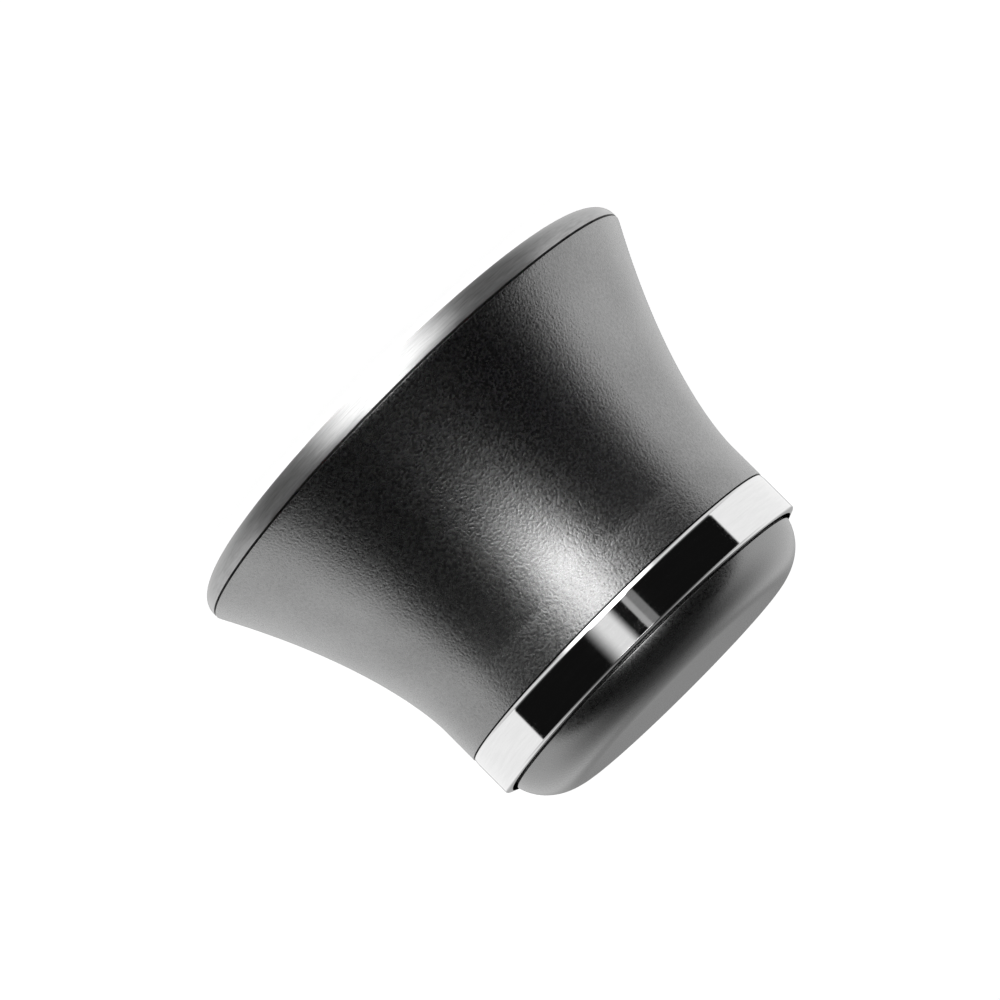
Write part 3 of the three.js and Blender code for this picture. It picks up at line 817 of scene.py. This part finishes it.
def o_ring():
    z0, z1, outer = size("spindle_o_ring")
    wire = (z1 - z0) / 2
    section = arc(outer - wire, (z0 + z1) / 2, wire, wire, 0, 345, 23)    # stops a point short of closing
    finish_piece("shaft_seal", turned(section, FINE), "spindle_o_ring")


GUIDE_SEAT_R, SLEEVE_R, SLEEVE_Z1 = 12.7, 4.4, 28.6
SPRING_POCKET_R, SPRING_POCKET_Z0 = 7.4, 25.6
GUIDE_ROOM, GUIDE_SEAT_ROOM = 0.3, 0.2       # in the grip's well, and over the ring's flange
LIGHT_R0, LIGHT_R1, LIGHT_H = 9.6, 12.2, 0.5      # the lightening pockets
LIGHT_FROM, LIGHT_TO = 62, 118               # degrees round from each screw


def guide():
    """The moulded sleeve and spring pocket, with lightening pockets between its screws."""
    z0, z1, lip_r = size("button_guide")
    body_r = WELL_R - GUIDE_ROOM
    ring_z0 = size("trim_ring")[0]
    seat_z = ring_z0 + RING_FLANGE_H + GUIDE_SEAT_ROOM
    outline = [(ROD_BORE_R, z0), (body_r, z0), (body_r, ring_z0), (GUIDE_SEAT_R, ring_z0),
               (GUIDE_SEAT_R, seat_z), (lip_r, seat_z), (lip_r, z1),
               (SPRING_POCKET_R, z1), (SPRING_POCKET_R, SPRING_POCKET_Z0),
               (SLEEVE_R, SPRING_POCKET_Z0), (SLEEVE_R, SLEEVE_Z1), (ROD_BORE_R, SLEEVE_Z1)]
    pockets = []
    for i in range(SCREWS):
        turn = 120 * i
        fan = sector(LIGHT_R0, LIGHT_R1, turn + LIGHT_FROM, turn + LIGHT_TO)
        pockets.append(prism(fan, z1 - LIGHT_H, z1 + OVER))
    blank = turned(rounded(outline, 0.12), FINE)
    body = carve(blank, *holes("guide_screw", ring_z0 - OVER, z1 + OVER), *pockets)
    finish_piece("spring_guide", body, "button_guide")


# ---- the button ---------------------------------------------------------------------------------
CAP_FLAT_R = 11.6
CAP_WALL, CAP_ROOF = 1.0, 1.6
CAP_SKIRT_INSET = 0.4         # the skirt inside the trim ring is narrower, which leaves a shadow line
CAP_SKIRT_Z1 = 32.25
BOSS_R, BOSS_Z0 = 4.2, 31.3
ROD_ROOM = 0.1                # round the rod in the cap


def cap():
    z0, z1, radius = size("button_cap")
    roof = z1 - CAP_ROOF
    edge_w = radius - CAP_FLAT_R
    inside = arc(CAP_FLAT_R, z0, edge_w - CAP_WALL, roof - z0, 90, 0, 20)
    skirt_r = radius - CAP_SKIRT_INSET
    start = math.degrees(math.asin((CAP_SKIRT_Z1 - z0) / (z1 - z0)))
    shoulder = arc(CAP_FLAT_R, z0, edge_w, z1 - z0, start, 90, 48)
    rod_hole_r = size("push_rod")[2] + ROD_ROOM
    outline = [(0, roof), (rod_hole_r, roof), (rod_hole_r, BOSS_Z0), (BOSS_R, BOSS_Z0), (BOSS_R, roof),
               *inside, (skirt_r, z0), (skirt_r, CAP_SKIRT_Z1), *shoulder, (0, z1)]
    finish_piece("cap", turned(rounded(outline, 0.1), FINE), "button_cap")


def rod():
    z0, z1, radius = size("push_rod")
    clip_z0, clip_z1, _ = size("rod_clip")
    groove_r, slack, chamfer = 1.4, 0.12, 0.4
    outline = [(0, z0), (radius - chamfer, z0), (radius, z0 + chamfer),
               *groove(radius, groove_r, clip_z0, clip_z1, slack), (radius, z1), (0, z1)]
    finish_piece("plunger_rod", turned(rounded(outline, 0.08)), "push_rod")


def rod_clip():
    """A clip pushed on from the side, which grips the rod's groove at three places."""
    z0, z1, outer = size("rod_clip")
    inner, end = 1.6, 138                       # degrees each way
    notch_r, notch_at, notch_turn = 0.75, 2.1, 62
    band = prism(sector(inner, outer, -end, end), z0, z1)
    notch = cylinder(notch_r, z0 - OVER, z1 + OVER)
    at = [around_axis(notch_at, a) for a in (-notch_turn, notch_turn)]
    clip = carve(band, *[shifted(turned(notch, HOLE), *point) for point in at])
    finish_piece("retaining_clip", clip, "rod_clip")


SPRING_COILS = 6.5
SPRING_WIRE = 0.45            # half the wire's thickness
SPRING_CLOSED = 2 * SPRING_WIRE + 0.04      # how far a closed turn at an end rises
SPRING_SIDES, SPRING_STEPS = 12, 48         # round the wire, and round a turn


def spring():
    """A wound spring with a closed turn at each end. Its foot stays in the guide as the button goes in."""
    z0, z1, outer = size("return_spring")
    radius = outer - SPRING_WIRE
    count = round(SPRING_COILS * SPRING_STEPS)
    low, high = z0 + SPRING_WIRE, z1 - SPRING_WIRE
    free = high - low - 2 * SPRING_CLOSED
    angles = [2 * math.pi * s / SPRING_SIDES for s in range(SPRING_SIDES)]
    mesh = bmesh.new()
    rings = []
    for k in range(count + 1):
        turns = SPRING_COILS * k / count
        rise = SPRING_CLOSED * min(turns, 1) + SPRING_CLOSED * max(0, turns - SPRING_COILS + 1)
        share = min(1.0, max(0.0, (turns - 1) / (SPRING_COILS - 2)))
        rise += free * share
        out = Vector((math.cos(2 * math.pi * turns), math.sin(2 * math.pi * turns), 0))
        middle = out * radius + Vector((0, 0, low + rise))
        ring = [middle + out * SPRING_WIRE * math.cos(a) + Vector((0, 0, SPRING_WIRE * math.sin(a)))
                for a in angles]
        rings.append([mesh.verts.new(point * MM) for point in ring])
    for ring, other in zip(rings, rings[1:]):
        for s in range(SPRING_SIDES):
            t = (s + 1) % SPRING_SIDES
            mesh.faces.new((ring[s], ring[t], other[t], other[s]))
    mesh.faces.new(rings[0])
    mesh.faces.new(rings[-1])
    bmesh.ops.recalc_face_normals(mesh, faces=mesh.faces)
    piece = finish_piece("wound_spring", mesh, "return_spring", body="grip")
    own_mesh(piece)


wall_disc()
gasket()
glide()
bush()
dowel()
grip()
polished_ring()
spindle()
nut()
flat_ring("plain_washer", "spindle_washer", NECK_HOLE_R, 0.12)
flat_ring("slip_washer", "thrust_washer", BUSH_BORE_R, 0.08)
circlip()
o_ring()
guide()
cap()
rod()
rod_clip()
spring()
for screw_circle in ("bush_screw", "guide_screw"):
    for number in range(SCREWS):
        socket_screw(f"{screw_circle}_{number + 1}")
